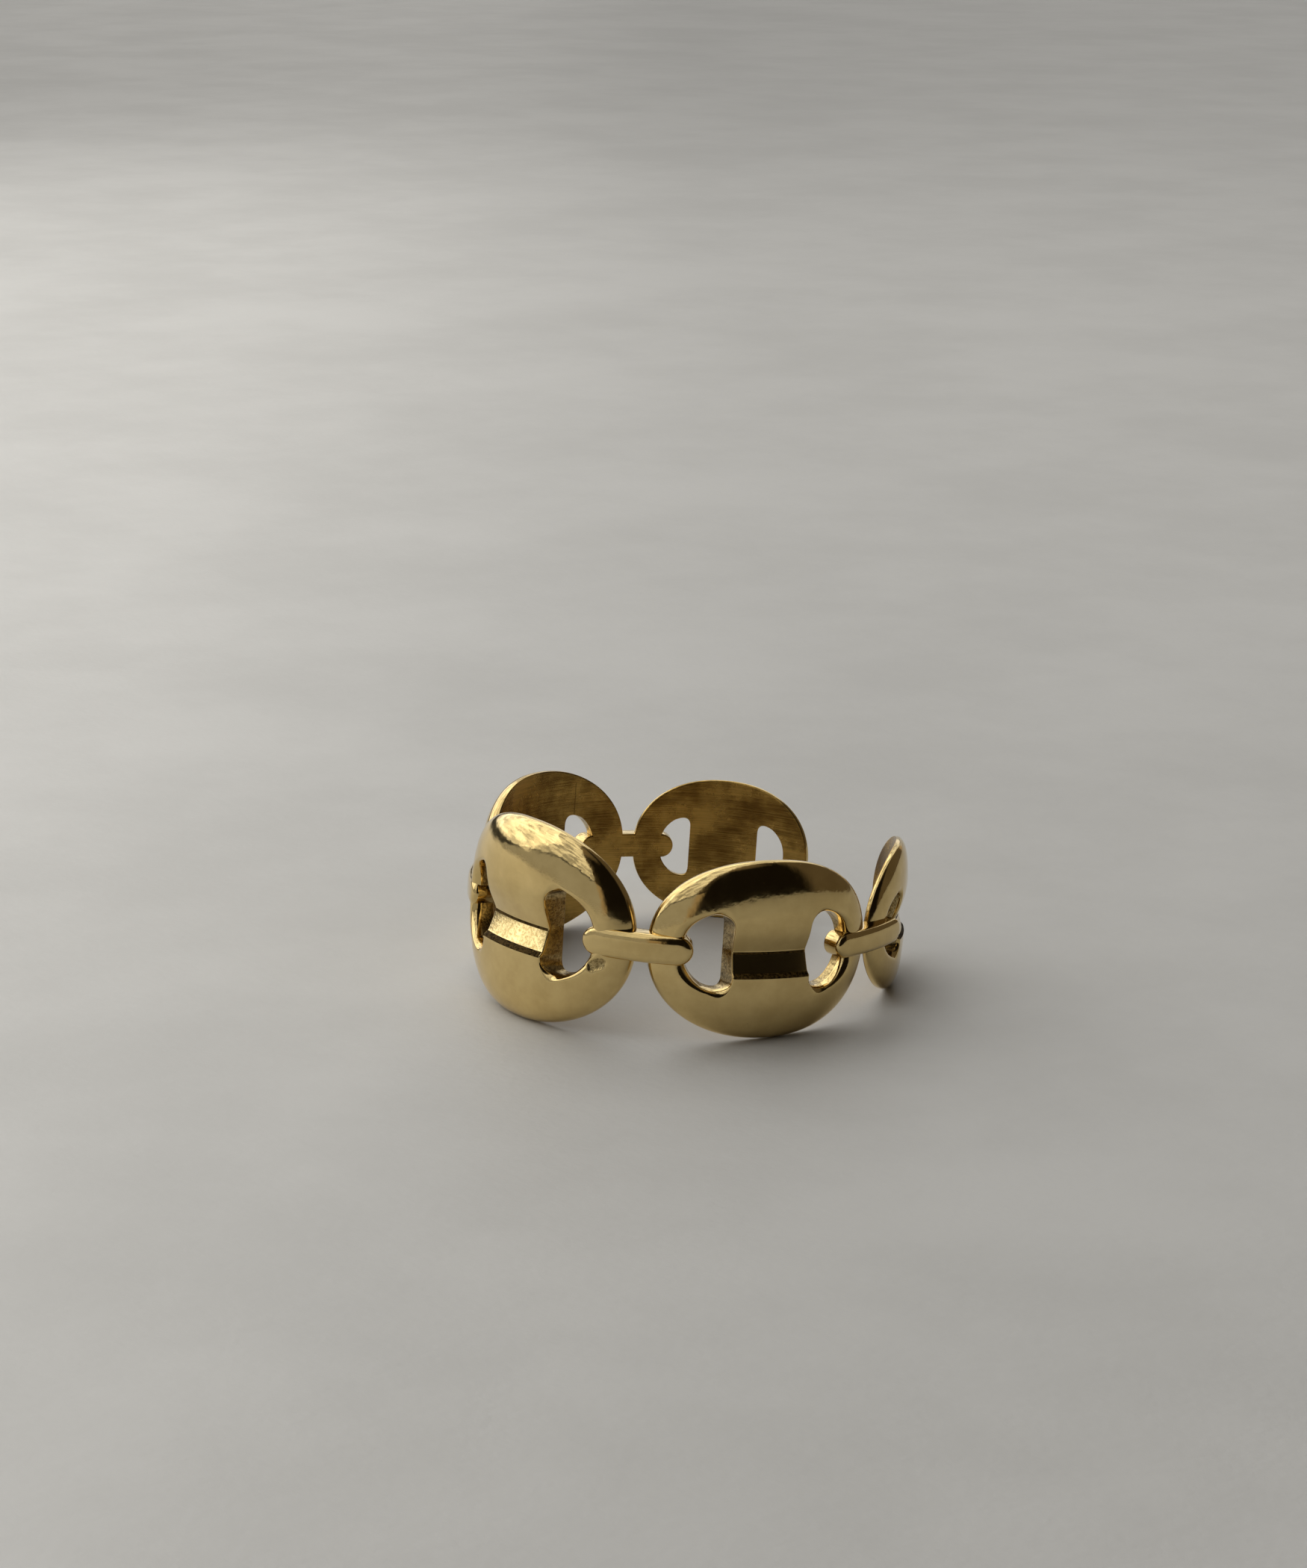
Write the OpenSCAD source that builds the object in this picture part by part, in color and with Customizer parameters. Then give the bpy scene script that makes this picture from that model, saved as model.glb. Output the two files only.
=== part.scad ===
// Open ring of five puffed anchor-chain links, cast in one piece and lying on its side.
// Millimetres, with +Z up. The table is z = 0, and the origin is where the axis of the
// finger hole meets it. The largest link is in front, at -Y, and the links grow smaller
// towards the gap at +Y, where the ring can be opened.

/* [Finger hole] */
// Diameter of the finger hole
bore_d = 17.3; // [16.8:0.1:19]

/* [Front link] */
// Width of the front link, measured round the finger hole
front_w = 11; // [10.4:0.1:11.4]
// Height of the front link, along the finger
front_h = 8.6; // [8:0.1:9.4]
// Thickness of the front link at its crest
front_t = 1.15; // [1:0.05:1.5]
// How far round the finger hole the front link sits from the middle between its neighbours
front_shift = 0.25; // [-0.3:0.05:0.3]

/* [Side links] */
// Width of the two side links
side_w = 9.9; // [9.2:0.1:10.4]
// Height of the two side links
side_h = 7.6; // [7:0.1:7.6]
// Thickness of the two side links at their crest
side_t = 1; // [0.9:0.05:1.4]

/* [End links] */
// Width of the two end links, beside the gap
end_w = 8.2; // [7.6:0.1:8.8]
// Height of the two end links
end_h = 6.4; // [5.8:0.1:6.8]
// Thickness of the two end links at their crest
end_t = 0.7; // [0.6:0.05:0.9]

/* [All links] */
// Space between a side link and an end link, round the finger hole
link_gap = 0.5; // [0.35:0.05:0.8]
// Space between the front link and a side link, were the front link in the middle
front_gap = 0.7; // [0.7:0.05:1]
// Thickness of a link's thin edge, where its dome starts
edge_t = 0.15; // [0.1:0.05:0.3]
// Squareness of a link's outline, where 2 is an ellipse
outline_power = 2.18; // [2:0.02:2.6]
// Flatness of a link's dome, where 2 is round and more is flatter
dome_power = 4; // [3:0.5:6]

/* [Holes] */
// Width of the web between a link's holes, as a share of the link's width
web_share = 0.377; // [0.32:0.01:0.42]
// Where a hole's outer wall stands, as a share of the link's half width
hole_reach = 0.7; // [0.64:0.01:0.73]
// Height of the curve that a hole's outer wall follows, as a share of the link's height
hole_rise = 0.54; // [0.48:0.01:0.58]
// Squareness of that curve, where 2 is an ellipse
hole_power = 2.4; // [2:0.1:3]
// Length that is rounded away at a hole's two corners, as a share of the link's half height
hole_corner = 0.195; // [0.15:0.005:0.22]
// Radius of the rounded edge round a hole, on the outside of the link
hole_edge = 0.2; // [0.1:0.05:0.25]

/* [Groove] */
// Height of the groove across the web, as a share of the link's height
groove_share = 0.28; // [0.2:0.01:0.32]
// Metal left under the groove, as a share of the link's thickness
groove_floor = 0.53; // [0.45:0.01:0.7]

/* [Bars] */
// Height of a bar, as a share of the mean height of the two links that it joins
bar_share = 0.153; // [0.13:0.001:0.17]
// Thickness of a bar at its crest, from the finger hole
bar_t = 1; // [0.9:0.05:1.3]
// Thickness of a bar at its shoulders
bar_side_t = 0.7; // [0.5:0.05:0.8]
// Length of a bar, round the finger hole
bar_l = 4.4; // [4.2:0.05:4.8]

/* [Hidden] */

bore_r = bore_d / 2;

// Facets round a link's outline and from its edge to its crest
outline_steps = 48;
dome_steps = 8;
// Facets along a hole's outer wall, round each of its corners and over its rounded edge
wall_steps = 10;
corner_steps = 5;
mouth_steps = 3;
// Facets round a bar's head
head_steps = 8;

// How far solids start inside the finger hole, and how far cuts reach past the crest
inner_spare = 0.6;
cut_spare = 0.6;
// Facets of the finger hole
bore_fn = 180;

// An arc round the finger hole as an angle
function turn_of(arc) = arc / bore_r * 180 / PI;

// Headings of the side and end links, measured from the front link
side_turn = turn_of((front_w + side_w) / 2 + front_gap);
end_turn = side_turn + turn_of((side_w + end_w) / 2 + link_gap);

// Links in their order round the ring, with their named columns
TURN = 0;
WIDTH = 1;
HEIGHT = 2;
THICKNESS = 3;
LINKS = [
    [-end_turn, end_w, end_h, end_t],
    [-side_turn, side_w, side_h, side_t],
    [turn_of(front_shift), front_w, front_h, front_t],
    [side_turn, side_w, side_h, side_t],
    [end_turn, end_w, end_h, end_t]
];

// The ring rests on the front link's inner edge and the two end links' outer edges,
// and because the front link is the tallest, its side of the ring is raised.
rest_tilt = atan((front_h - end_h) / 2 / (bore_r - (bore_r + edge_t) * cos(end_turn)));
rest_lift = front_h / 2 * cos(rest_tilt) - bore_r * sin(rest_tilt);

// The place of a point that lies an arc round the finger hole from a heading, at a height
// and at a distance out from the finger hole
function place(turn, arc, up, out) =
    let (a = turn + turn_of(arc), r = bore_r + out)
    [r * cos(a), r * sin(a), up];

// A point on a squared ellipse, where 0 degrees is its right end
function squared_point(half_w, half_h, power, a) = [
    half_w * sign(cos(a)) * pow(abs(cos(a)), 2 / power),
    half_h * sign(sin(a)) * pow(abs(sin(a)), 2 / power)
];

// Outlines are points [arc, up], counterclockwise
function link_outline(width, height) = [
    for (i = [0 : outline_steps - 1])
        squared_point(width / 2, height / 2, outline_power, i * 360 / outline_steps)
];

// How far out a point of a link lies, from 0 at the link's middle to 1 at its outline
function reach_of(p, width, height) = pow(
    pow(abs(p.x) / (width / 2), outline_power) + pow(abs(p.y) / (height / 2), outline_power),
    1 / outline_power
);

// The height of a dome at such a reach
function dome_out(reach, side_out, crest_out) =
    side_out + (crest_out - side_out) * sqrt(1 - pow(min(reach, 1), dome_power));

// The reaches of a dome's rings, close together at its edge, where it is steep
REACHES = [for (i = [dome_steps : -1 : 1]) pow(sin(i * 90 / dome_steps), 2 / dome_power)];

// A corner rounded as a curve from one point to another that leans towards a third
function corner(from, tip, to) = [
    for (i = [0 : corner_steps])
        let (u = i / corner_steps)
        (1 - u) * (1 - u) * from + 2 * u * (1 - u) * tip + u * u * to
];

// The right hand hole of a link: a curved outer wall, two round corners and the web's wall
function hole_outline(width, height) =
    let (
        reach = hole_reach * width / 2,
        rise = hole_rise * height / 2,
        web = web_share * width / 2,
        cut = hole_corner * height / 2,
        tip_a = acos(pow(web / reach, hole_power / 2)),
        corner_a = tip_a - cut / rise * 180 / PI,
        tip = squared_point(reach, rise, hole_power, tip_a),
        top = squared_point(reach, rise, hole_power, corner_a),
        wall = [
            for (i = [1 : wall_steps - 1])
                squared_point(reach, rise, hole_power, corner_a * (2 * i / wall_steps - 1))
        ],
        upper = corner(top, tip, [web, tip.y - cut]),
        lower = [for (i = [corner_steps : -1 : 0]) [upper[i].x, -upper[i].y]]
    )
    concat(wall, upper, lower);

// An outline grown outwards by a length
function grown(outline, by) =
    let (n = len(outline))
    [
        for (i = [0 : n - 1])
            let (along = outline[(i + 1) % n] - outline[(i + n - 1) % n])
            outline[i] + by / norm(along) * [along.y, -along.x]
    ];

// A bar seen from outside: a strip between the middles of its two half round heads
function bar_outline(span, head_r) = [
    for (side = [1, -1], i = [0 : head_steps])
        let (a = side * 90 - 90 + (i / head_steps - 0.5) * 180)
        [side * span / 2 + head_r * cos(a), head_r * sin(a)]
];

// A closed solid through rings of points [arc, up, out], with a point at each end
module skin(turn, rings, inner, outer) {
    n = len(rings[0]);
    points = concat(
        [place(turn, inner[0], inner[1], inner[2])],
        [for (ring = rings, p = ring) place(turn, p[0], p[1], p[2])],
        [place(turn, outer[0], outer[1], outer[2])]
    );
    end = len(points) - 1;
    faces = concat(
        [for (j = [0 : n - 1]) [0, 1 + j, 1 + (j + 1) % n]],
        [
            for (i = [0 : len(rings) - 2], j = [0 : n - 1])
                let (a = 1 + i * n + j, b = 1 + i * n + (j + 1) % n)
                each [[a, a + n, b + n], [a, b + n, b]]
        ],
        [for (j = [0 : n - 1]) [end, end - n + (j + 1) % n, end - n + j]]
    );
    polyhedron(points, faces);
}

// A dome through one outline for each of its reaches, from its side to its crest
module pillow(turn, outlines, side_out, crest_out) {
    half_arc = max([for (p = outlines[0]) p.x]);
    closing_out = bore_r * cos(turn_of(half_arc)) - bore_r - inner_spare;
    base = [for (p = outlines[0]) [p.x, p.y, -inner_spare]];
    domed = [
        for (i = [0 : dome_steps - 1])
            let (out = dome_out(REACHES[i], side_out, crest_out))
            [for (p = outlines[i]) [p.x, p.y, out]]
    ];
    skin(turn, concat([base], domed), [0, 0, closing_out], [0, 0, crest_out]);
}

// The cut for one of a link's holes, towards the finger hole's axis, with a rounded mouth
// that meets the link's dome
module hole_cut(outline, width, height, thickness) {
    middle = (max([for (p = outline) p.x]) + min([for (p = outline) p.x])) / 2;
    low = -2 * inner_spare;
    high = thickness + cut_spare;
    mouth = [
        for (i = [0 : mouth_steps])
            let (a = i * 90 / mouth_steps)
            [
                for (p = grown(outline, hole_edge * (1 - cos(a))))
                    let (dome = dome_out(reach_of(p, width, height), edge_t, thickness))
                    [p.x, p.y, dome - hole_edge * (1 - sin(a))]
            ]
    ];
    skin(
        0,
        concat(
            [[for (p = outline) [p.x, p.y, low]]],
            mouth,
            [[for (p = mouth[mouth_steps]) [p.x, p.y, high]]]
        ),
        [middle, 0, low],
        [middle, 0, high]
    );
}

// The groove across a link's web, from the middle of one hole to the middle of the other
module groove(width, height, thickness) {
    floor_out = groove_floor * thickness;
    slope = groove_share * height / 2 / (thickness - floor_out);
    cut_out = thickness + cut_spare;
    reach_turn = turn_of((web_share + hole_reach) / 2 * width / 2);
    rotate([0, 0, -reach_turn])
        rotate_extrude(angle = 2 * reach_turn, $fn = bore_fn)
            polygon([
                [bore_r + floor_out, 0],
                [bore_r + cut_out, -slope * (cut_out - floor_out)],
                [bore_r + cut_out, slope * (cut_out - floor_out)]
            ]);
}

// One link: a domed oval with two holes and a grooved web between them
module link(row) {
    width = row[WIDTH];
    height = row[HEIGHT];
    thickness = row[THICKNESS];
    hole = hole_outline(width, height);
    other_hole = [for (i = [len(hole) - 1 : -1 : 0]) [-hole[i].x, hole[i].y]];
    outlines = [for (reach = REACHES) link_outline(width * reach, height * reach)];
    rotate([0, 0, row[TURN]])
        difference() {
            pillow(0, outlines, edge_t, thickness);
            hole_cut(hole, width, height, thickness);
            hole_cut(other_hole, width, height, thickness);
            groove(width, height, thickness);
        }
}

// One bar, with its heads in the facing holes of two neighbouring links, halfway between
// the outer walls of these holes
module bar(row, next) {
    from = row[TURN] + turn_of(hole_reach * row[WIDTH] / 2);
    to = next[TURN] - turn_of(hole_reach * next[WIDTH] / 2);
    head_r = bar_share * (row[HEIGHT] + next[HEIGHT]) / 4;
    outlines = [for (reach = REACHES) bar_outline(bar_l - 2 * head_r, head_r * reach)];
    pillow((from + to) / 2, outlines, bar_side_t, bar_t);
}

module finger_hole() {
    tall = 2 * front_h;
    translate([0, 0, -tall / 2]) cylinder(h = tall, r = bore_r, $fn = bore_fn);
}

module chain_ring() {
    color([0.80, 0.67, 0.40])
        translate([0, rest_lift * tan(rest_tilt), rest_lift])
            rotate([-rest_tilt, 0, 0])
                rotate([0, 0, -90])
                    difference() {
                        union() {
                            for (row = LINKS) link(row);
                            for (i = [0 : len(LINKS) - 2]) bar(LINKS[i], LINKS[i + 1]);
                        }
                        finger_hole();
                    }
}

chain_ring();
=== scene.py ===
# %% [markdown]
# # An open ring of puffed chain links
# The ring is one casting in a gold coloured metal: five oval links, graduated in size, that
# short bars join into an open band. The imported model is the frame. Its sizes are right, but
# its domes are faceted, and polished metal shows every facet as a kink in its reflections.
# So each link and each bar is modelled once more here, smooth and in the same place.

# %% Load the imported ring
import math
from collections import namedtuple

import bmesh
import bpy
from mathutils import Matrix, Vector


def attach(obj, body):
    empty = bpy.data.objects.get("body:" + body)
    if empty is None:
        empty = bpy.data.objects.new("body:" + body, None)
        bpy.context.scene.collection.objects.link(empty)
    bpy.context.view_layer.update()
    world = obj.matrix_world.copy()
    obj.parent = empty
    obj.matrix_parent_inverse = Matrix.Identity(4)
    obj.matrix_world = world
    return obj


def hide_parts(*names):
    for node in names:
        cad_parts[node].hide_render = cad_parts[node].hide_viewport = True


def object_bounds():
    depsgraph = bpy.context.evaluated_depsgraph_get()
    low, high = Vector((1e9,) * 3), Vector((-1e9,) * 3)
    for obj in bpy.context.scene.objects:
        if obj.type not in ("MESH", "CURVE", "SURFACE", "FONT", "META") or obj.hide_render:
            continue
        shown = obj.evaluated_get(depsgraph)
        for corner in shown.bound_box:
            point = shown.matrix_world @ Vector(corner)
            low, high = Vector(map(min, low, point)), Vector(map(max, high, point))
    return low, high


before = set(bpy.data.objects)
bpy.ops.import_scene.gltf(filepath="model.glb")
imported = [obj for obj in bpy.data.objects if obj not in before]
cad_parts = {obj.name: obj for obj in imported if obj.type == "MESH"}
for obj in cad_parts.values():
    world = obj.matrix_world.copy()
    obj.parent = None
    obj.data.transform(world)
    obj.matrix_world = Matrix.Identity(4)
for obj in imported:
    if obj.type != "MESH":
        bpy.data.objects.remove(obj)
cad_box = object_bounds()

MM = 0.001
cad_size = (cad_box[1] - cad_box[0]) / MM
print("The packed ring is", [round(x, 2) for x in cad_size], "mm and has", sorted(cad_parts))

# %% [markdown]
# ## Camera
# The camera comes first. Its place was found from the outlines of the five links in the photo.
# It looks down by 15 degrees from about 17 cm. At the ring its tall frame is 7 cm high, so the
# ring is small in it.

# %% The camera
FOCAL_PX, PHOTO_H_PX, SENSOR = 5314.7, 2100, 36
camera_at = Vector((131.00, -99.52, 54.14)) * MM
to_the_right = (0.5972, 0.8021, 0.0044)
to_the_top = (-0.2162, 0.1556, 0.9639)
to_the_viewer = (0.7724, -0.5765, 0.2664)
turn = Matrix((to_the_right, to_the_top, to_the_viewer)).transposed().to_quaternion()
turn.normalize()

camera_data = bpy.data.cameras.new("photo_camera")
camera_data.sensor_width = SENSOR
camera_data.lens = FOCAL_PX * SENSOR / PHOTO_H_PX
camera_data.clip_start = 0.01
camera_data.clip_end = 20
camera = bpy.data.objects.new("photo_camera", camera_data)
camera.rotation_mode = "QUATERNION"
camera.location = camera_at
camera.rotation_quaternion = turn
bpy.context.scene.collection.objects.link(camera)
bpy.context.scene.camera = camera
print("The lens is", round(camera_data.lens, 1), "mm on a", SENSOR, "mm sensor")

# %% [markdown]
# ## Sizes
# These are the named sizes of the part, in millimetres. Angles are measured round the finger
# hole, from the front link, and a length round the finger hole becomes an angle by dividing
# it by the hole's radius. The front link sits a little off the middle of its place.

# %% Sizes and the order of the links
BORE_R = 8.65
EDGE_T = 0.15
FRONT_W, FRONT_H, FRONT_T, FRONT_SHIFT = 11.0, 8.6, 1.15, 0.25
SIDE_W, SIDE_H, SIDE_T = 9.9, 7.6, 1.0
END_W, END_H, END_T = 8.2, 6.4, 0.7
LINK_GAP, FRONT_GAP = 0.5, 0.7

Link = namedtuple("Link", "heading width height thickness")
side_turn = ((FRONT_W + SIDE_W) / 2 + FRONT_GAP) / BORE_R
end_turn = side_turn + ((SIDE_W + END_W) / 2 + LINK_GAP) / BORE_R
links = {
    "link_end_left": Link(-end_turn, END_W, END_H, END_T),
    "link_side_left": Link(-side_turn, SIDE_W, SIDE_H, SIDE_T),
    "link_front": Link(FRONT_SHIFT / BORE_R, FRONT_W, FRONT_H, FRONT_T),
    "link_side_right": Link(side_turn, SIDE_W, SIDE_H, SIDE_T),
    "link_end_right": Link(end_turn, END_W, END_H, END_T),
}
print("Headings in degrees:", {k: round(math.degrees(v.heading), 1) for k, v in links.items()})

# %% [markdown]
# ## From a flat sheet to the ring
# A curved link is hard to model in place, but easy to model flat: x runs round the finger, y
# along the finger and z is the distance from the finger. One function then bends a finished
# flat piece round the finger hole and sets the ring down on the table, where the tall front
# link tips it back by four degrees.

# %% Bend a flat piece round the finger hole
rest_tilt = math.atan((FRONT_H - END_H) / 2 / (BORE_R - (BORE_R + EDGE_T) * math.cos(end_turn)))
rest_lift = FRONT_H / 2 * math.cos(rest_tilt) - BORE_R * math.sin(rest_tilt)
lie_down = Matrix.Translation((0, rest_lift * math.tan(rest_tilt), rest_lift))
lie_down = lie_down @ Matrix.Rotation(-rest_tilt, 4, "X")


def bend(bm, heading):
    """Bends a flat piece round the finger hole at a heading, and lays it down in metres."""
    for v in bm.verts:
        a = heading + v.co.x / BORE_R - math.pi / 2
        r = BORE_R + v.co.z
        v.co = lie_down @ Vector((r * math.cos(a), r * math.sin(a), v.co.y)) * MM


print("The ring lies tilted by", round(math.degrees(rest_tilt), 2), "degrees")

# %% [markdown]
# ## Outlines
# A link's outline is a slightly squared ellipse, and so is the outer wall of each hole. A
# polygon would do for a plain link, but here the points follow the formula. They stand close
# together where the metal bends sharply, because a mirror shows every uneven row.

# %% How points are spaced
OUTLINE_POWER, HOLE_POWER = 2.18, 2.4


def denser_at_both_ends(u):
    return (1 - math.cos(math.pi * u)) / 2


def denser_at_start(u):
    return u * u


def densest_at_start(u, start_power=2.4, end_power=1.5):
    """Very dense at the start, where the dome is steep, and a little denser at the end."""
    return 1 - (1 - u ** start_power) ** end_power


def squared_point(half_w, half_h, power, a):
    """A point on a squared ellipse, where angle 0 is its right end."""
    c, s = math.cos(a), math.sin(a)
    x = half_w * math.copysign(abs(c) ** (2 / power), c)
    return Vector((x, half_h * math.copysign(abs(s) ** (2 / power), s), 0))


shoulder = squared_point(FRONT_W / 2, FRONT_H / 2, OUTLINE_POWER, math.pi / 4)
print("The front link's shoulder lies at", round(shoulder.x, 2), "and", round(shoulder.y, 2), "mm")

# %% [markdown]
# A hole has a curved outer wall, a straight wall at the web in the middle of the link, and
# two round corners between them. It is a list of points, and the border of the half link is
# a second list with a point for each of them, so that a sheet of quads can run from the one
# to the other. Beside the corners and the web, that border is the link's middle line.

# %% The outlines of a link and of its hole
# The web's half width, the hole's reach and rise, and the cut of its corners, each as a share
# of the link's half width or half height
WEB_SHARE, HOLE_REACH, HOLE_RISE, HOLE_CORNER = 0.377, 0.7, 0.54, 0.195
WALL_STEPS, CORNER_STEPS = 64, 16
# Heights on the web's wall, as shares of its half height, and the rows down to the next. The
# first is where the thin line of painted shade under the groove's bottom ends
SHADE_LINE_FOOT, STEP_START = -0.09, -0.76
WEB_ROWS = ((1, 14), (0, 1), (SHADE_LINE_FOOT, 12), (STEP_START, 8), (-1, 1))


def hole_and_border(width, height):
    """The right hole's outline, and for each of its points one on the half link's border."""
    half_w, half_h = width / 2, height / 2
    reach, rise, web = HOLE_REACH * half_w, HOLE_RISE * half_h, WEB_SHARE * half_w
    cut = HOLE_CORNER * half_h
    tip_a = math.acos((web / reach) ** (HOLE_POWER / 2))
    corner_a = tip_a - cut / rise
    tip = squared_point(reach, rise, HOLE_POWER, tip_a)
    top = squared_point(reach, rise, HOLE_POWER, corner_a)
    web_top = Vector((web, tip.y - cut, 0))
    hole, border = [], []

    def add_corner(u, side):
        point = top.lerp(tip, u).lerp(tip.lerp(web_top, u), u)
        hole.append(Vector((point.x, side * point.y, 0)))
        border.append(Vector((0, side * (half_h + (web_top.y - half_h) * densest_at_start(u)), 0)))

    for i in range(WALL_STEPS + 1):
        u = 2 * i / WALL_STEPS - 1
        hole.append(squared_point(reach, rise, HOLE_POWER, corner_a * u))
        border.append(squared_point(half_w, half_h, OUTLINE_POWER, math.pi / 2 * u))
    border[0].x = border[-1].x = 0
    corner_shares = [i / CORNER_STEPS for i in range(1, CORNER_STEPS + 1)]
    for u in corner_shares:
        add_corner(u, 1)
    for (share, rows), (below, _) in zip(WEB_ROWS, WEB_ROWS[1:] + WEB_ROWS[-1:]):
        for i in range(rows):
            here = web_top.y * (share + (below - share) * i / rows)
            hole.append(Vector((web, here, 0)))
            border.append(Vector((0, here, 0)))
    for u in reversed(corner_shares):
        add_corner(u, -1)
    return hole, border


print("A hole's outline has", len(hole_and_border(FRONT_W, FRONT_H)[0]), "points")

# %% [markdown]
# ## A sheet between two outlines
# A circle of edges takes the shape of the first outline. Extruding it gives a second ring of
# points, which moves to the other outline, and cutting the edges between them makes rows of
# quads. The rows are then drawn together where the surface will be steep. Each point keeps
# how far along it is, and how far it lies from the first outline, in layers of the mesh.

# %% Make such a sheet
SAME_PLACE = 1e-5


def sheet(bm, first, second, rows, spacing):
    """Rows of quads from one closed outline to another."""
    start = bm.verts.layers.float_vector.new("start")
    end = bm.verts.layers.float_vector.new("end")
    way = bm.verts.layers.float.new("way")
    away = bm.verts.layers.float.new("away")
    ring = bmesh.ops.create_circle(bm, segments=len(first), radius=1)["verts"]
    for v, p, q in zip(ring, first, second):
        v.co = v[start] = p
        v[end] = q
    made = bmesh.ops.extrude_edge_only(bm, edges=bm.edges[:])["geom"]
    far = {g for g in made if isinstance(g, bmesh.types.BMVert)}
    for v in far:
        v.co = v[end]
        v[way] = 1
    between_them = [e for e in bm.edges if (e.verts[0] in far) != (e.verts[1] in far)]
    bmesh.ops.subdivide_edges(bm, edges=between_them, cuts=rows - 1, use_grid_fill=True)
    for v in bm.verts:
        v.co = v[start].lerp(v[end], spacing(v[way]))
        v[away] = (v.co - v[start]).length


# %% [markdown]
# ## From a sheet to a solid
# Extruding the whole sheet once gives an inner face, an outer face and the walls between
# them. The inner face keeps to the finger hole, and the outer face rises to the height that
# a function gives, so the dome, the groove and the rounded edges are one smooth surface.

# %% Thicken a sheet
INNER_EDGE = 0.06


def rounded(distance, radius):
    """How far an edge of that radius falls away at a distance from its wall."""
    if distance >= radius:
        return 0
    return radius - math.sqrt(radius * radius - (radius - distance) ** 2)


def thicken(bm, outer_height, inner_height):
    """Turns a flat sheet into a solid, and returns its outer points."""
    made = bmesh.ops.extrude_face_region(bm, geom=bm.faces[:])["geom"]
    outer = {g for g in made if isinstance(g, bmesh.types.BMVert)}
    for v in bm.verts:
        v.co.z = outer_height(v) if v in outer else inner_height(v)
    return outer


print("The inner edges fall away by", round(rounded(0, INNER_EDGE), 2), "mm")

# %% [markdown]
# Each finished piece is bent into place and becomes an object. It rides on the root body,
# because the ring is one rigid casting.

# %% Finish a piece
def finish_piece(name, bm, heading, materials):
    """Bends a flat piece into place, and makes it an object that rides on the ring."""
    bmesh.ops.remove_doubles(bm, verts=bm.verts[:], dist=SAME_PLACE)
    bend(bm, heading)
    bmesh.ops.recalc_face_normals(bm, faces=bm.faces[:])
    open_edges = sum(not e.is_manifold for e in bm.edges)
    for face in bm.faces:
        face.smooth = True
    mesh = bpy.data.meshes.new(name)
    bm.to_mesh(mesh)
    bm.free()
    piece = bpy.data.objects.new(name, mesh)
    bpy.context.scene.collection.objects.link(piece)
    for material in materials:
        mesh.materials.append(material)
    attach(piece, "root")
    print(name, "has", len(mesh.polygons), "faces and", open_edges, "open edges")
    return piece


# %% [markdown]
# ## Helpers for materials
# All the finishes are mixed from noise. A node is added, set and linked in one call, so that
# each material reads as a short list of what it is made of. Coordinates are those of the
# object, scaled so that a noise works in millimetres.

# %% Add nodes
def node(tree, kind, settings=None, **inputs):
    """Adds a node, sets its properties, and sets or links its inputs by name or number."""
    made = tree.nodes.new(kind)
    for key, value in (settings or {}).items():
        setattr(made, key, value)
    for key, value in inputs.items():
        numbered = key[0] == "i" and key[1:].isdigit()
        socket = made.inputs[int(key[1:]) if numbered else key]
        if isinstance(value, bpy.types.NodeSocket):
            tree.links.new(value, socket)
        else:
            socket.default_value = value
    return made


def calculate(tree, operation, a, b=0):
    return node(tree, "ShaderNodeMath", {"operation": operation}, i0=a, i1=b).outputs[0]


def dot(tree, a, b):
    made = node(tree, "ShaderNodeVectorMath", {"operation": "DOT_PRODUCT"}, i0=a, i1=b)
    return made.outputs["Value"]


def between(tree, value, low, high, to_low=0, to_high=1):
    """Maps a value from one range to another, smoothly."""
    made = node(tree, "ShaderNodeMapRange", {"interpolation_type": "SMOOTHSTEP"}, i0=value)
    for socket, number in zip(made.inputs[1:5], (low, high, to_low, to_high)):
        socket.default_value = number
    return made.outputs[0]


# %% [markdown]
# A noise gives stains, grains and lines, a bump node turns it into a surface, and a mix node
# turns it into a colour between two others.

# %% Patterns and colours
def in_millimetres(tree, rotation=(0, 0, 0)):
    """The object's own coordinates in millimetres, turned."""
    place = node(tree, "ShaderNodeTexCoord").outputs["Object"]
    mapping = node(tree, "ShaderNodeMapping", Vector=place)
    mapping.inputs["Scale"].default_value = [1 / MM] * 3
    mapping.inputs["Rotation"].default_value = rotation
    return mapping.outputs["Vector"]


def stretched(tree, place, scale):
    return node(tree, "ShaderNodeMapping", Vector=place, Scale=scale).outputs[0]


def noise(tree, place, scale, detail, roughness=0.5):
    made = node(tree, "ShaderNodeTexNoise", Vector=place, Scale=scale, Detail=detail, Roughness=roughness)
    return made.outputs["Fac"]


def bump(tree, height, distance, strength, under=None):
    """Turns a height into a surface, on top of another one if there is one."""
    made = node(tree, "ShaderNodeBump", Height=height, Distance=distance * MM, Strength=strength)
    if under is not None:
        tree.links.new(under, made.inputs["Normal"])
    return made.outputs["Normal"]


def mixed_colour(tree, share, first, second):
    """Goes from one colour to another by a share. Each may be a colour or a node's output."""
    made = node(tree, "ShaderNodeMix", {"data_type": "RGBA"}, i0=share, i6=first, i7=second)
    return made.outputs[2]


# %% [markdown]
# Every finish of the ring starts as a metal, so its shader takes the same three links: a
# colour, a roughness and a surface.

# %% Start and fill a material
def new_material(name):
    """A material with its node tree and its shader."""
    material = bpy.data.materials.new(name)
    material.use_nodes = True
    return material, material.node_tree, material.node_tree.nodes["Principled BSDF"]


def fill_metal(tree, shader, colour, roughness, surface):
    """Links a metal's colour, roughness and surface to its shader."""
    shader.inputs["Metallic"].default_value = 1
    tree.links.new(colour, shader.inputs["Base Color"])
    tree.links.new(roughness, shader.inputs["Roughness"])
    tree.links.new(surface, shader.inputs["Normal"])


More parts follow.
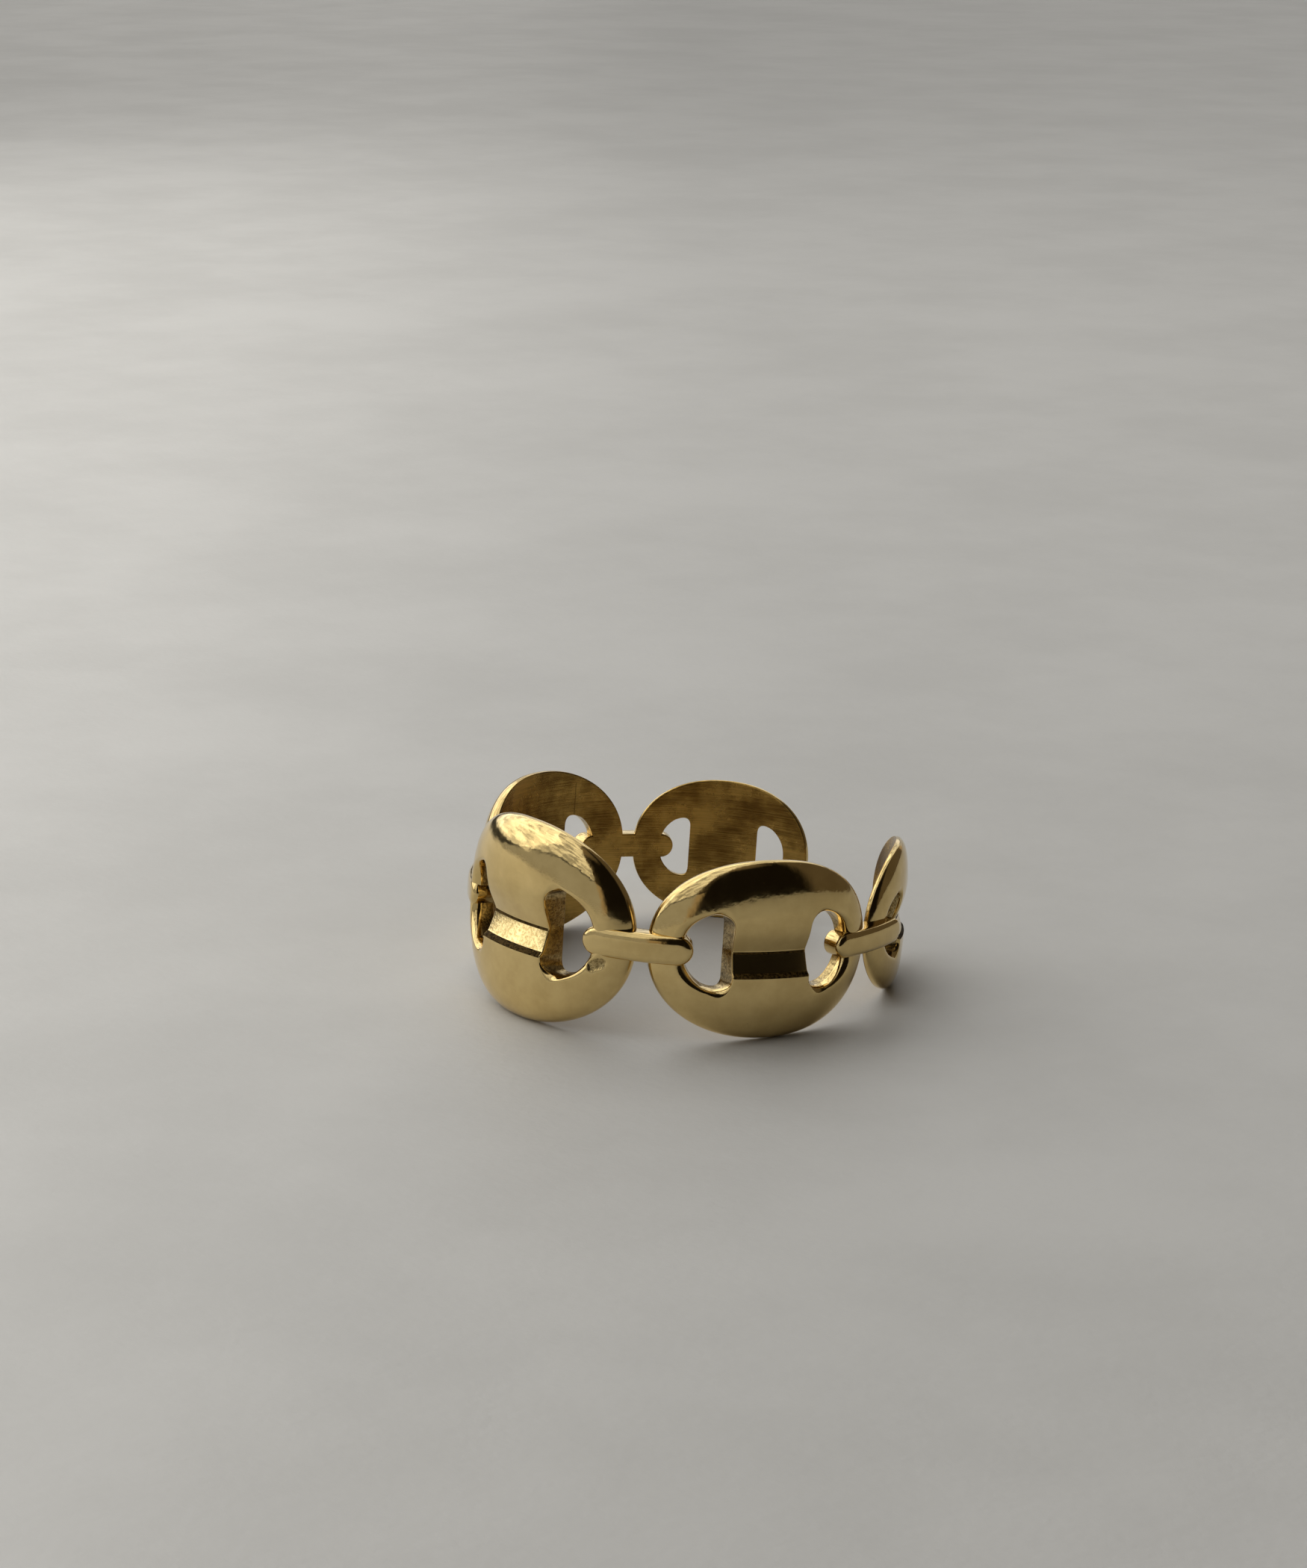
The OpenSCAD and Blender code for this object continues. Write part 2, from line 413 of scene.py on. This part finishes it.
# %% [markdown]
# ## Gold, polished
# The outsides were polished on a wheel. They mirror the pale table below and the dark room
# above, so the colour of the metal and a low roughness do most of the work. A little noise
# in the roughness, faint ripples and some small pits keep the mirror from looking like
# plastic.

# %% The polished gold
polished, tree, shader = new_material("polished_gold")
place = in_millimetres(tree)
patches = between(tree, noise(tree, place, scale=0.8, detail=5.0, roughness=0.6), 0.3, 0.7)
colour = mixed_colour(tree, patches, (0.65, 0.48, 0.205, 1), (0.76, 0.575, 0.26, 1))
smears = noise(tree, place, scale=1.4, detail=6.0, roughness=0.65)
gloss = between(tree, smears, 0.3, 0.7, to_low=0.05, to_high=0.13)
broad, fine = noise(tree, place, scale=1.1, detail=2.0), noise(tree, place, scale=3.0, detail=3.0)
ripples = bump(tree, broad, distance=0.03, strength=0.4)
ripples = bump(tree, fine, distance=0.012, strength=0.4, under=ripples)
pits = between(tree, noise(tree, place, scale=6.0, detail=1.0), 0.81, 0.86, to_low=0, to_high=-1)
pitted = bump(tree, pits, distance=0.04, strength=0.6, under=ripples)
fill_metal(tree, shader, colour, gloss, pitted)
print("Made", polished.name)

# %% [markdown]
# ## Gold, brushed
# The inside was sanded round the finger with a drum. The lines follow the finger hole, so
# the angle round it and the height along it are worked out from the coordinates, and the
# noise is stretched along the angle. The first turn undoes the ring's tilt, and the quarter
# turn puts the seam of that angle into the ring's opening.

# %% The lines of the brushed inside
# How the noise is stretched into lines, and how much the stains count beside them
LINE_SCALE, STAIN_SHARE = (0.45, 20, 1), 0.4
brushed, tree, shader = new_material("brushed_gold")
place = in_millimetres(tree, rotation=(rest_tilt, 0, math.pi / 2))
split = node(tree, "ShaderNodeSeparateXYZ", Vector=place)
angle = calculate(tree, "ARCTAN2", split.outputs["Y"], split.outputs["X"])
around = calculate(tree, "MULTIPLY", angle, BORE_R)
unrolled = node(tree, "ShaderNodeCombineXYZ", X=around, Y=split.outputs["Z"]).outputs[0]
lines = noise(tree, stretched(tree, unrolled, LINE_SCALE), scale=1.0, detail=6.0, roughness=0.7)
stain = noise(tree, unrolled, scale=0.45, detail=5.0, roughness=0.6)
stains = between(tree, stain, 0.35, 0.65, to_low=0.2, to_high=0.8)
lines_and_stains = node(tree, "ShaderNodeMix", i0=STAIN_SHARE, i2=lines, i3=stains).outputs[0]
worn_share = between(tree, lines_and_stains, 0.28, 0.72)
colour = mixed_colour(tree, worn_share, (0.17, 0.095, 0.02, 1), (0.70, 0.46, 0.13, 1))
print("Mixed the lines of", brushed.name)

# %% [markdown]
# Wear has left one fine scratch across the lines, on the left side link. It is a narrow band
# at one place round the finger hole, which fades in and out along the finger.

# %% The scratch, and the brushed gold
SCRATCH_FROM_MIDDLE, SCRATCH_STRENGTH = -2.33, 0.65
# Its sharp and its soft half width, and the heights over which it fades in and out
SCRATCH_HALF_W, SCRATCH_START, SCRATCH_END = (0.012, 0.036), (5.2, 5.4), (6.6, 6.9)
scratch_at = -side_turn * BORE_R + SCRATCH_FROM_MIDDLE
off_scratch = calculate(tree, "ABSOLUTE", calculate(tree, "ADD", around, -scratch_at))
scratch = between(tree, off_scratch, *SCRATCH_HALF_W, to_low=SCRATCH_STRENGTH, to_high=0)
fade_in = between(tree, split.outputs["Z"], *SCRATCH_START)
fade_out = between(tree, split.outputs["Z"], *SCRATCH_END, to_low=1, to_high=0)
for fade in (fade_in, fade_out):
    scratch = calculate(tree, "MULTIPLY", scratch, fade)
colour = mixed_colour(tree, scratch, colour, (0.10, 0.06, 0.02, 1))
gloss = between(tree, stain, 0.3, 0.7, to_low=0.2, to_high=0.32)
fill_metal(tree, shader, colour, gloss, bump(tree, lines, distance=0.015, strength=0.7))
print("Made", brushed.name)

# %% [markdown]
# ## Gold, rough as cast
# No wheel reaches into the holes, so the skin of the casting stays on their walls: fine
# grains that sparkle, with darker metal between them. The other two grainy finishes are made
# by the same function, which takes the noise's scale, detail and roughness as the grain.

# %% The rough cast skin
def grainy_gold(name, grain, dark, light, gloss, relief, light_from=0.6):
    """A metal with fine grains, darker between them."""
    material, tree, shader = new_material(name)
    grains = noise(tree, in_millimetres(tree), *grain)
    colour = mixed_colour(tree, between(tree, grains, 0.35, light_from), dark, light)
    fill_metal(tree, shader, colour, between(tree, grains, 0.3, 0.7, *gloss), bump(tree, grains, *relief))
    print("Made", material.name)
    return material


rough = grainy_gold(
    "cast_gold", grain=(9.0, 4.0, 0.7), dark=(0.20, 0.14, 0.055, 1), light=(0.54, 0.41, 0.19, 1),
    gloss=(0.24, 0.12), relief=(0.03, 0.4),
)

# %% [markdown]
# ## Gold, ground
# The lower side of the groove was cut with a small grinding tip and then only rubbed over.
# It is smoother than the cast skin, and catches the window as one bright patch.

# %% The ground metal
ground = grainy_gold(
    "ground_gold", grain=(8.0, 3.0, 0.6), dark=(0.62, 0.45, 0.18, 1), light=(0.90, 0.70, 0.34, 1),
    gloss=(0.2, 0.12), relief=(0.02, 0.3),
)

# %% [markdown]
# ## Gold, with painted shade
# The bottom of the groove and the step under its lower edge are painted with a thin dark line
# of shade, where the crease and the step stand in shadow. The paint is dull and no longer a
# metal, so it hardly mirrors anything.

# %% The painted shade
painted_shade = grainy_gold(
    "painted_crease_shade", grain=(9.0, 4.0, 0.7), dark=(0.012, 0.007, 0.002, 1), light=(0.12, 0.072, 0.02, 1),
    gloss=(0.6, 0.4), relief=(0.03, 0.6), light_from=0.65,
)
# The painted shade is dull and not a metal, so it stays dark
shade_shader = painted_shade.node_tree.nodes["Principled BSDF"]
shade_shader.inputs["Metallic"].default_value = 0
shade_shader.inputs["Specular IOR Level"].default_value = 0.02

# %% [markdown]
# ## The links
# A link is a steep sided dome. A groove in the form of a V crosses the web, soft where it
# leaves the upper half and crisp at the lower half, where its side ends in a small step.
# These are functions of a place on the flat link, so that one sheet can follow them all.

# %% The dome and the groove
DOME_POWER = 4.0
GROOVE_SHARE, GROOVE_FLOOR = 0.28, 0.53
# The lower side reaches this share of the groove's depth at the foot of its step, bends by
# this power on the way, and rises by this share in a step of this width in thicknesses
SIDE_RISE, SIDE_BEND, STEP_RISE, STEP_WIDTH = 0.62, 1.12, 0.48, 0.2


def reach_of(v, link):
    """How far out a point lies, from 0 in the middle of a link to 1 on its outline."""
    x, y = abs(v.co.x) / (link.width / 2), abs(v.co.y) / (link.height / 2)
    return min((x ** OUTLINE_POWER + y ** OUTLINE_POWER) ** (1 / OUTLINE_POWER), 1)


def dome_height(v, link):
    return EDGE_T + (link.thickness - EDGE_T) * math.sqrt(1 - reach_of(v, link) ** DOME_POWER)


def groove_height(y, link, step_start, step_end):
    """The height of the groove's sides, which rise on above the dome."""
    floor = GROOVE_FLOOR * link.thickness
    share = y / (GROOVE_SHARE * link.height / 2)
    if y < 0:
        share = SIDE_RISE * (y / step_start) ** SIDE_BEND
    if y < step_start:
        share = SIDE_RISE + STEP_RISE * (y - step_start) / (step_end - step_start)
    return floor + (link.thickness - floor) * share


def smaller_of(a, b, blend):
    """The smaller of two heights, with the corner between them rounded."""
    h = max(blend - abs(a - b), 0) / blend
    return min(a, b) - h * h * blend / 4


print("The front link's groove is", round((1 - GROOVE_FLOOR) * FRONT_T, 2), "mm deep")

# %% [markdown]
# Few castings come out without a flaw. The front link has one shallow mark below the right
# bar, a rough hollow with a rounded outline.

# %% The mark that the casting left
# By link: its middle, half length and half width, its turn in degrees and its depth
marks = {"link_front": (4.14, -0.97, 0.36, 0.2, 30, 0.12)}
# The power of its outline, the shares of it at which its bottom and its slope end, and the
# depth from which it is rough
MARK_POWER, MARK_FLAT, MARK_END, MARK_ROUGH = 3, 0.7, 1.3, 0.02


def mark_depth(name, x, y):
    """How deep the mark on a link is at a place, or 0."""
    if name not in marks:
        return 0
    mark_x, mark_y, half_l, half_w, turned, depth = marks[name]
    place = Matrix.Rotation(math.radians(-turned), 2) @ Vector((x - mark_x, y - mark_y))
    share = abs(place.x / half_l) ** MARK_POWER + abs(place.y / half_w) ** MARK_POWER
    return depth * min(max((MARK_END - share) / (MARK_END - MARK_FLAT), 0), 1)


print("Marks:", {name: mark_depth(name, *mark[:2]) for name, mark in marks.items()})

# %% [markdown]
# A link is symmetrical, so half of it is made as a sheet round one hole and mirrored. The
# edges of the holes are rounded, softly at the rims and tightly at the web. The walls at the
# web lean back, so that the holes are a little wider outside. Each face then gets its finish
# from where it lies: the groove's dark lines of painted shade end just before its rounded edges.

# %% Make a link
LINK_ROWS = 34
RIM_EDGE, WEB_EDGE = 0.48, 0.16
# How far a wall leans back, from how far away, and how soon that ends round the corner
LEAN, LEAN_REACH, LEAN_FADE = 0.3, 0.8, 0.5
# How softly the groove leaves the upper and the lower half of the web
UPPER_BLEND, LOWER_BLEND = 0.25, 0.03
# Room for rounding at the web's edge, the greatest distance of a hole's wall from the hole,
# and how far the lines of painted shade stay away from the leaning wall
ON_THE_LINE, AT_THE_WALL, SHADE_LINE_MARGIN = 1e-4, 0.01, 0.06
finishes = (polished, brushed, rough, painted_shade, ground)
POLISHED, BRUSHED, ROUGH, SHADE_PAINTED, GROUND = range(len(finishes))


def make_link(name, link):
    bm = bmesh.new()
    hole, border = hole_and_border(link.width, link.height)
    sheet(bm, hole, border, LINK_ROWS, denser_at_both_ends)
    away = bm.verts.layers.float["away"]
    start = bm.verts.layers.float_vector["start"]
    whole = bm.verts[:] + bm.edges[:] + bm.faces[:]
    bmesh.ops.mirror(bm, geom=whole, axis="X", merge_dist=SAME_PLACE)
    web = WEB_SHARE * link.width / 2
    web_top = max(p.y for p in hole if p.x < web + SAME_PLACE)
    step_start = STEP_START * web_top
    step_end = step_start - STEP_WIDTH * link.thickness

    def at_web(v):
        return max(1 - (v[start].x - web) / LEAN_FADE, 0) ** 2

    def outer_height(v):
        outside = dome_height(v, link)
        if abs(v.co.x) < web + ON_THE_LINE:
            blend = UPPER_BLEND if v.co.y > 0 else LOWER_BLEND
            outside = smaller_of(outside, groove_height(v.co.y, link, step_start, step_end), blend)
        edge = rounded(v[away], RIM_EDGE + (WEB_EDGE - RIM_EDGE) * at_web(v))
        return outside - edge - mark_depth(name, v.co.x, v.co.y)

    def inner_height(v):
        to_outline = (1 - reach_of(v, link)) * min(link.width, link.height) / 2
        return rounded(v[away], INNER_EDGE) + rounded(to_outline, INNER_EDGE)

    def finish_of(face):
        middle = face.calc_center_median()
        out_here = [v in outer for v in face.verts]
        if not any(out_here):
            return BRUSHED
        if not all(out_here):
            return ROUGH if max(v[away] for v in face.verts) < AT_THE_WALL else POLISHED
        if mark_depth(name, middle.x, middle.y) > MARK_ROUGH:
            return ROUGH
        # The groove's bottom and the step below its lower side get painted shade, and the ground side between
        # them does not
        if abs(middle.x) < web - LEAN - SHADE_LINE_MARGIN and step_end < middle.y < 0:
            return GROUND if step_start < middle.y < SHADE_LINE_FOOT * web_top else SHADE_PAINTED
        return POLISHED

    outer = thicken(bm, outer_height, inner_height)
    for v in outer:
        near = max(1 - v[away] / LEAN_REACH, 0)
        v.co.x -= math.copysign(LEAN * at_web(v) * near * near, v.co.x)
    for face in bm.faces:
        face.material_index = finish_of(face)
    return finish_piece(name, bm, link.heading, finishes)


# %% [markdown]
# The same function makes all five links, the largest and the smallest alike. The imported ring
# is hidden from the picture, and the new pieces stand in its place.

# %% The five links
made_links = [make_link(name, link) for name, link in links.items()]
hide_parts("chain_ring")

# %% [markdown]
# ## The bars
# A bar is a strip with two round heads, which lies over the rims of two links and ends in
# their holes. It is a sheet from that outline to the bar's middle line, with rounded
# shoulders and a nearly flat top.

# %% The outline of a bar
# The bar's half width is this share of the half heights of its two links, on average
BAR_SHARE = 0.153
# Its length, its thickness in the middle and at the sides, and how flat its top is
BAR_L, BAR_T, BAR_SIDE_T, BAR_POWER = 4.4, 1.0, 0.7, 4.5
HEAD_STEPS, STRIP_STEPS, BAR_ROWS = 28, 40, 16


def bar_outlines(head_r, span):
    """A bar's outline, and for each of its points one on its middle line."""
    outline, middle = [], []
    for side in (1, -1):
        for i in range(HEAD_STEPS + 1):
            a = math.pi * (i / HEAD_STEPS - 0.5) + (0 if side > 0 else math.pi)
            outline.append(Vector((side * span / 2 + head_r * math.cos(a), head_r * math.sin(a), 0)))
            middle.append(Vector((side * span / 2, 0, 0)))
        for i in range(1, STRIP_STEPS):
            x = side * span * (0.5 - i / STRIP_STEPS)
            outline.append(Vector((x, side * head_r, 0)))
            middle.append(Vector((x, 0, 0)))
    return outline, middle


print("A bar's outline has", len(bar_outlines(1, BAR_L)[0]), "points")

# %% [markdown]
# Each bar lies halfway between the outer ends of the two holes that it joins, so it sits
# over the gap whatever the sizes of its links are.

# %% Make the four bars
def make_bar(name, one, other):
    head_r = BAR_SHARE * (one.height + other.height) / 4
    start = one.heading + HOLE_REACH * one.width / 2 / BORE_R
    end = other.heading - HOLE_REACH * other.width / 2 / BORE_R
    bm = bmesh.new()
    sheet(bm, *bar_outlines(head_r, BAR_L - 2 * head_r), BAR_ROWS, denser_at_start)
    away = bm.verts.layers.float["away"]
    bmesh.ops.remove_doubles(bm, verts=bm.verts[:], dist=SAME_PLACE)

    def outer_height(v):
        reach = min(max(1 - v[away] / head_r, 0), 1)
        return BAR_SIDE_T + (BAR_T - BAR_SIDE_T) * math.sqrt(1 - reach ** BAR_POWER)

    outer = thicken(bm, outer_height, lambda v: rounded(v[away], INNER_EDGE))
    for face in bm.faces:
        outside = any(v in outer for v in face.verts)
        face.material_index = POLISHED if outside else BRUSHED
    return finish_piece(name, bm, (start + end) / 2, (polished, brushed))


rows = list(links.values())
bar_names = ("bar_left_end", "bar_left_front", "bar_right_front", "bar_right_end")
for name, one, other in zip(bar_names, rows, rows[1:]):
    make_bar(name, one, other)

# %% [markdown]
# ## The table
# The ring lies on a plain pale table that goes on past every reflection, because the lower
# halves of the links mirror it. A faint cloudiness keeps it from looking like paper. Towards the
# left, a pool of the window's light is painted into its colour, so it grows paler there.

# %% The table's surface
# Where the painted pool of window light lies on the table, as an azimuth in degrees, between
# which distances from the ring's middle it rises, in millimetres, and by how much it brightens
WINDOW_POOL_TOWARDS, WINDOW_POOL_OVER, WINDOW_POOL_BY = -126.7, (-10, 45), (1.04, 1.38)


def aim_at(azimuth, elevation):
    """The direction to an azimuth and an elevation in degrees."""
    a, e = math.radians(azimuth), math.radians(elevation)
    return Vector((math.cos(a) * math.cos(e), math.sin(a) * math.cos(e), math.sin(e)))


pale, tree, shader = new_material("pale_table")
place = in_millimetres(tree)
clouds = between(tree, noise(tree, place, scale=0.05, detail=6.0, roughness=0.62), 0.3, 0.7)
colour = mixed_colour(tree, clouds, (0.535, 0.53, 0.513, 1), (0.595, 0.59, 0.573, 1))
# A pool of the window's light, painted into the table's colour towards the left
painted_window_light = between(tree, dot(tree, place, aim_at(WINDOW_POOL_TOWARDS, 0)), *WINDOW_POOL_OVER, *WINDOW_POOL_BY)
colour = node(tree, "ShaderNodeVectorMath", {"operation": "SCALE"}, i0=colour, i3=painted_window_light).outputs[0]
tree.links.new(colour, shader.inputs["Base Color"])
shader.inputs["Roughness"].default_value = 0.55
grain = noise(tree, place, scale=2.0, detail=3.0)
tree.links.new(bump(tree, grain, distance=0.04, strength=0.5), shader.inputs["Normal"])
print("Made", pale.name)

# %% [markdown]
# One large disc is enough for the table. It is attached to no body, so it belongs to the
# picture and not to the ring.

# %% The table
TABLE_R = 3.0
bm = bmesh.new()
bmesh.ops.create_circle(bm, cap_ends=True, segments=96, radius=TABLE_R)
floor_mesh = bpy.data.meshes.new("table")
bm.to_mesh(floor_mesh)
bm.free()
floor_mesh.materials.append(pale)
table = bpy.data.objects.new("table", floor_mesh)
bpy.context.scene.collection.objects.link(table)
print("The table is", 2 * TABLE_R, "m wide")

# %% [markdown]
# ## Light
# A window close to the ring, high at the left, gives the left links their bright bands. What
# is seen through it is uneven, so the bands have patches.

# %% The window
WINDOW_AZIMUTH, WINDOW_ELEVATION, WINDOW_DISTANCE = -162, 40, 0.24
WINDOW_W, WINDOW_H, WINDOW_POWER = 0.40, 0.28, 0.35
window_data = bpy.data.lights.new("window", "AREA")
window_data.shape = "RECTANGLE"
window_data.size, window_data.size_y = WINDOW_W, WINDOW_H
window_data.energy = WINDOW_POWER
window_data.color = (1.0, 0.98, 0.94)
window = bpy.data.objects.new("window", window_data)
towards_it = aim_at(WINDOW_AZIMUTH, WINDOW_ELEVATION)
window.location = towards_it * WINDOW_DISTANCE
window.rotation_euler = towards_it.to_track_quat("Z", "Y").to_euler()
bpy.context.scene.collection.objects.link(window)

window_data.use_nodes = True
tree = window_data.node_tree
pane = stretched(tree, node(tree, "ShaderNodeTexCoord").outputs["UV"], (3, 9, 1))
outdoors = noise(tree, pane, scale=1.0, detail=4.0, roughness=0.6)
outdoors = between(tree, outdoors, 0.42, 0.56, to_low=0.4, to_high=1.2)
tree.links.new(outdoors, tree.nodes["Emission"].inputs["Strength"])
print("The window hangs", round(window.location.z, 2), "m above the table")

# %% [markdown]
# The room is the world. Each part of it is a range of directions: a bright side with a sill
# at its lower edge, a wall below the sill that is as bright as the table, a dark side, where
# the tops of the links go black, and a weak fill from behind and above. Where a reflection
# crosses from one to the other, polished metal shows a sharp line.

# %% Directions in the room
WINDOW_SIDE, BACK_SIDE = -150, 92
# What is above the rising sill is a cone of directions: where it points, and the cosine of
# its angle. The level sill is given by the sine of its elevation
RISING_SILL, RISING_SILL_AT, LEVEL_SILL_AT = (180, 65.5), 0.42, 0.395
room = bpy.data.worlds.new("room")
bpy.context.scene.world = room
room.use_nodes = True
tree = room.node_tree
direction = node(tree, "ShaderNodeTexCoord").outputs["Generated"]
up = dot(tree, direction, aim_at(0, 90))
to_window_side = dot(tree, direction, aim_at(WINDOW_SIDE, 0))
to_back = dot(tree, direction, aim_at(BACK_SIDE, 0))
# The cone's edge rises from the far left towards the front, up to the level sill
over_rising_sill = calculate(tree, "ADD", dot(tree, direction, aim_at(*RISING_SILL)), -RISING_SILL_AT)
over_level_sill = calculate(tree, "ADD", up, -LEVEL_SILL_AT)
over_sill = calculate(tree, "MAXIMUM", over_rising_sill, over_level_sill)
print("The room has", len(tree.nodes), "nodes so far")

# %% [markdown]
# Each part is a soft step in one of these directions, with its own strength, and they add up.
# The bright side is divided into patches, and the dark side has a warm tint.

# %% The light of the room
WALL_LIGHT, BACK_LIGHT, CEILING_LIGHT, LIGHT_EVERYWHERE = 0.36, 0.09, 0.12, 0.008
window_side = between(tree, to_window_side, -0.08, -0.02)
above_sill = calculate(tree, "MULTIPLY", between(tree, over_sill, -0.01, 0.01), between(tree, up, 0.09, 0.12))
layers = noise(tree, stretched(tree, direction, (1, 1, 3)), scale=5.0, detail=5.0, roughness=0.6)
day = calculate(tree, "MULTIPLY", window_side, above_sill)
day = calculate(tree, "MULTIPLY", day, between(tree, layers, 0.42, 0.56, to_low=0.35, to_high=1.0))
wall = between(tree, to_window_side, -0.22, -0.1, to_low=0, to_high=WALL_LIGHT)
under_sill = between(tree, over_sill, -0.045, -0.025, to_low=1, to_high=0.1)
light_here = calculate(tree, "MULTIPLY", wall, under_sill)
back = between(tree, to_back, 0.4, 0.62, to_low=0, to_high=BACK_LIGHT)
ceiling = between(tree, up, 0.9, 0.98, to_low=0, to_high=CEILING_LIGHT)
for light in (day, back, ceiling, LIGHT_EVERYWHERE):
    light_here = calculate(tree, "ADD", light_here, light)
tint = mixed_colour(tree, window_side, (1.0, 0.8, 0.55, 1), (1.0, 0.99, 0.96, 1))
background = tree.nodes["Background"]
tree.links.new(light_here, background.inputs["Strength"])
tree.links.new(tint, background.inputs["Color"])
print("The room has", len(tree.nodes), "nodes")

# %% [markdown]
# ## Colours and the end
# The photo is a plain phone picture, so the view is the standard one, with the little added
# contrast that phones give.

# %% Finish
bpy.context.scene.view_settings.view_transform = "Standard"
bpy.context.scene.view_settings.look = "Medium Contrast"
